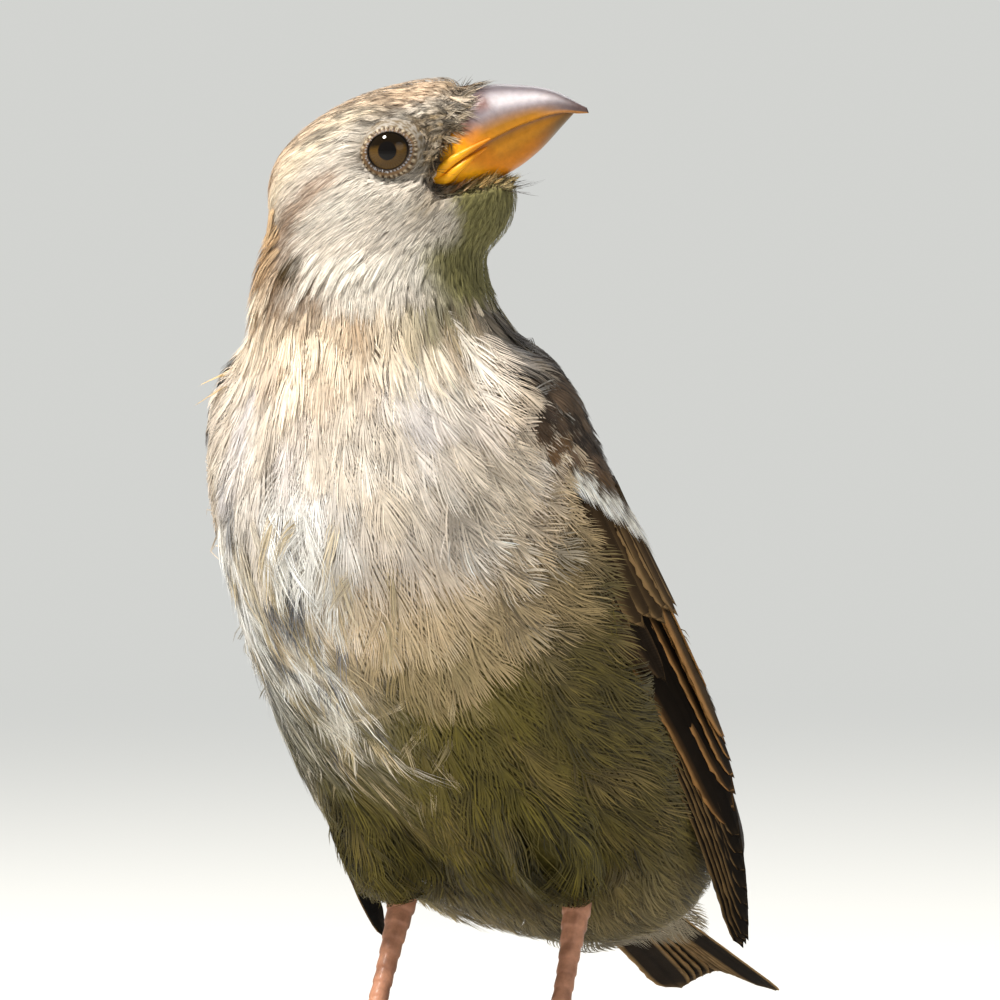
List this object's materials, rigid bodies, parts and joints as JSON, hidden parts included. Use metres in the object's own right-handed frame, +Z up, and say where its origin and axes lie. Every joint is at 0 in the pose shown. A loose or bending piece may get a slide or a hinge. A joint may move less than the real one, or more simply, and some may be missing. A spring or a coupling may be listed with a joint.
{
  "type": "house sparrow model",
  "caption": "Still life-size house sparrow standing upright with its head turned to one side, as a museum model.",
  "frame": {"origin": "on the floor, under the middle of the bounding box", "axes": "+Z up, the breast faces -Y, the tail points to +Y, and the bird's own left side is +X"},
  "size_m": [0.0438, 0.1132, 0.1009],
  "materials": {
    "head_plumage": "short soft matt feathers, streaked grey-brown over buff",
    "body_plumage": "long soft matt feathers, pale buff with fine barbs",
    "wing_coverts": "close matt feathers, dark brown with buff edges and a white bar",
    "flight_feathers": "smooth vanes with a low sheen, dark brown with buff edges",
    "tail_feathers": "smooth vanes with a low sheen, dark brown with paler edges",
    "bill_horn": "satin horn, mauve-grey above, yellow at the corner of the mouth",
    "eye": "wet gloss, warm brown iris round a black pupil",
    "leg_scales": "matt pinkish-brown scales",
    "claw_horn": "satin dark horn"
  },
  "bodies": {
    "root": {"head": "head_plumage", "neck": "body_plumage", "trunk": "body_plumage", "bill_upper": "bill_horn", "bill_lower": "bill_horn", "eye_right": "eye", "eye_left": "eye", "tail": "tail_feathers", "wing_left_coverts": "wing_coverts", "wing_right_coverts": "wing_coverts", "wing_left_secondaries": "flight_feathers", "wing_right_secondaries": "flight_feathers", "wing_left_primaries": "flight_feathers", "wing_right_primaries": "flight_feathers", "thigh_left": "body_plumage", "thigh_right": "body_plumage", "tarsus_left": "leg_scales", "tarsus_right": "leg_scales", "toe_left_1": "leg_scales", "toe_right_1": "leg_scales", "claw_left_1": "claw_horn", "claw_right_1": "claw_horn", "toe_left_2": "leg_scales", "toe_right_2": "leg_scales", "claw_left_2": "claw_horn", "claw_right_2": "claw_horn", "toe_left_3": "leg_scales", "toe_right_3": "leg_scales", "claw_left_3": "claw_horn", "claw_right_3": "claw_horn", "toe_left_4": "leg_scales", "toe_right_4": "leg_scales", "claw_left_4": "claw_horn", "claw_right_4": "claw_horn"}
  },
  "joints": []
}
